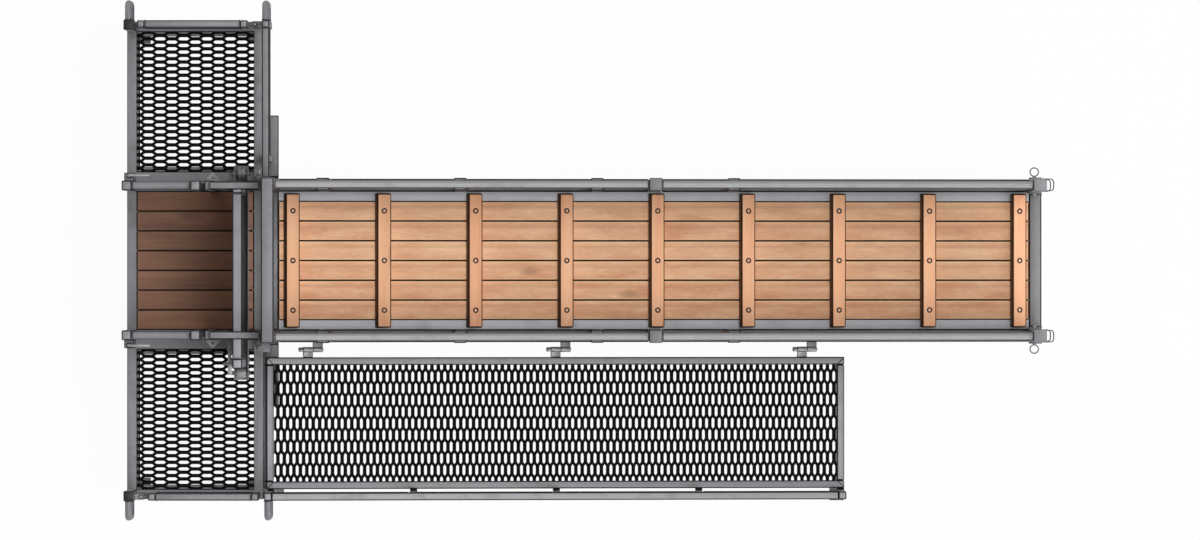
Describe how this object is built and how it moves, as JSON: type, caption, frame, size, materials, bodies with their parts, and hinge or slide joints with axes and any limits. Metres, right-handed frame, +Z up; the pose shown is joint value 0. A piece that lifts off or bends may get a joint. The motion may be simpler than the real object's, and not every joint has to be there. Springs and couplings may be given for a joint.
{
  "type": "livestock loading ramp",
  "caption": "Loading ramp for livestock: raised dock with swing and slide gates, sloping timber race with cleats and railed walls, and a fold-up side catwalk.",
  "frame": {"origin": "on the ground, at the middle of the whole part's length and width", "axes": "+X down the ramp towards the entry, +Y towards the side without the catwalk, +Z up"},
  "size_m": [4.755, 2.654, 3.07],
  "materials": {
    "frame_steel": "satin grey galvanised look",
    "gate_steel": "satin grey galvanised look",
    "rail_steel": "satin light grey galvanised look",
    "sheet_steel": "satin light grey galvanised look",
    "mesh_steel": "dark expanded metal",
    "pin_steel": "plated",
    "roller_plastic": "matt",
    "wheel_iron": "machined",
    "dock_timber": "dark brown, oiled",
    "ramp_timber": "pale tan, sawn",
    "cleat_timber": "pale tan, sawn",
    "cap_plastic": "black"
  },
  "bodies": {
    "root": {"platform_frame": "frame_steel", "dock_legs": "frame_steel", "ladder_rungs": "frame_steel", "corner_posts": "frame_steel", "far_guard_rail": "frame_steel", "gate_frame_far": "frame_steel", "gate_frame_near": "frame_steel", "slide_gate_channel": "frame_steel", "portal_arch": "frame_steel", "middle_frame": "frame_steel", "entry_frame": "frame_steel", "foot_plates": "frame_steel", "ramp_side_rails": "frame_steel", "floor_strips": "frame_steel", "floor_bearers": "frame_steel", "wall_posts": "frame_steel", "outrigger_arms": "frame_steel", "coupling_plates": "frame_steel", "cheek_plates": "frame_steel", "coupling_loops": "frame_steel", "lug_plates": "frame_steel", "latch_bracket": "frame_steel", "grab_handles": "gate_steel", "wall_rails_far": "rail_steel", "wall_rails_near": "rail_steel", "side_sheets_far": "sheet_steel", "side_sheets_near": "sheet_steel", "walkway_mesh": "mesh_steel", "wing_hinges": "pin_steel", "end_gate_gudgeons": "pin_steel", "roller_axles": "pin_steel", "latch_pivot": "pin_steel", "ramp_barrels": "pin_steel", "hinge_pins": "pin_steel", "deck_planks": "dock_timber", "ramp_planks": "ramp_timber", "ramp_cleats": "cleat_timber", "post_caps": "cap_plastic"},
    "wing_gate_far": {"wing_gate_far": "gate_steel"},
    "wing_gate_near": {"wing_gate_near": "gate_steel"},
    "drop_bolt_far": {"drop_bolt_far": "pin_steel"},
    "drop_bolt_near": {"drop_bolt_near": "pin_steel"},
    "end_gate_far": {"end_gate_far": "gate_steel"},
    "end_gate_near": {"end_gate_near": "gate_steel"},
    "slide_gate": {"slide_gate_frame": "gate_steel", "slide_gate_sheets": "sheet_steel", "slide_gate_handle": "gate_steel"},
    "support_roller_outer": {"support_roller_outer": "roller_plastic"},
    "support_roller_inner": {"support_roller_inner": "roller_plastic"},
    "rope_wheel": {"rope_wheel": "wheel_iron"},
    "latch_lever": {"latch_lever": "pin_steel"},
    "catwalk": {"catwalk_frame": "frame_steel", "catwalk_mesh": "mesh_steel", "catwalk_barrels": "pin_steel", "catwalk_guard": "frame_steel", "catwalk_feet": "frame_steel"},
    "coupling_pin_far": {"coupling_pin_far": "pin_steel"},
    "coupling_pin_near": {"coupling_pin_near": "pin_steel"},
    "entry_pin_far": {"entry_pin_far": "pin_steel"},
    "entry_pin_near": {"entry_pin_near": "pin_steel"}
  },
  "joints": [
    {"name": "wing_gate_far_swing", "type": "hinge", "parent": "root", "child": "wing_gate_far", "pos_m": [-1.9675, 0.392, 1.95], "axis": [0, 0, -1], "range_deg": [0, 75]},
    {"name": "wing_gate_near_swing", "type": "hinge", "parent": "root", "child": "wing_gate_near", "pos_m": [-1.9675, -0.392, 1.95], "axis": [0, 0, 1], "range_deg": [0, 75]},
    {"name": "drop_bolt_far_lift", "type": "slide", "parent": "wing_gate_far", "child": "drop_bolt_far", "axis": [0, 0, 1], "range_m": [-0.045, 0.035]},
    {"name": "drop_bolt_near_lift", "type": "slide", "parent": "wing_gate_near", "child": "drop_bolt_near", "axis": [0, 0, 1], "range_m": [-0.045, 0.035]},
    {"name": "end_gate_far_swing", "type": "hinge", "parent": "root", "child": "end_gate_far", "pos_m": [-1.7095, 1.205, 1.65], "axis": [0, 0, 1], "range_deg": [0, 90]},
    {"name": "end_gate_near_swing", "type": "hinge", "parent": "root", "child": "end_gate_near", "pos_m": [-2.2905, -1.205, 1.65], "axis": [0, 0, 1], "range_deg": [0, 90]},
    {"name": "slide_gate_travel", "type": "slide", "parent": "root", "child": "slide_gate", "axis": [0, -1, 0], "range_m": [0, 0.6]},
    {"name": "support_roller_outer_spin", "type": "hinge", "parent": "root", "child": "support_roller_outer", "pos_m": [-1.7905, -0.579, 1.201], "axis": [1, 0, 0], "continuous": true},
    {"name": "support_roller_inner_spin", "type": "hinge", "parent": "root", "child": "support_roller_inner", "pos_m": [-1.7905, -0.512, 1.201], "axis": [1, 0, 0], "continuous": true},
    {"name": "rope_wheel_spin", "type": "hinge", "parent": "root", "child": "rope_wheel", "pos_m": [-1.7905, 0.445, 1.2105], "axis": [1, 0, 0], "continuous": true},
    {"name": "latch_swing", "type": "hinge", "parent": "root", "child": "latch_lever", "pos_m": [-1.8365, -0.441, 2.024], "axis": [0, 0, -1], "range_deg": [-4, 60]},
    {"name": "catwalk_fold", "type": "hinge", "parent": "root", "child": "catwalk", "pos_m": [-1.60568, -0.4575, 1.15068], "axis": [-0.9659, 0, 0.2588], "range_deg": [0, 33]},
    {"name": "coupling_pin_far_pull", "type": "slide", "parent": "root", "child": "coupling_pin_far", "axis": [0, 0, 1], "range_m": [0, 0.06]},
    {"name": "coupling_pin_near_pull", "type": "slide", "parent": "root", "child": "coupling_pin_near", "axis": [0, 0, 1], "range_m": [0, 0.06]},
    {"name": "entry_pin_far_pull", "type": "slide", "parent": "root", "child": "entry_pin_far", "axis": [0, 1, 0], "range_m": [0, 0.1]},
    {"name": "entry_pin_near_pull", "type": "slide", "parent": "root", "child": "entry_pin_near", "axis": [0, -1, 0], "range_m": [0, 0.1]}
  ]
}
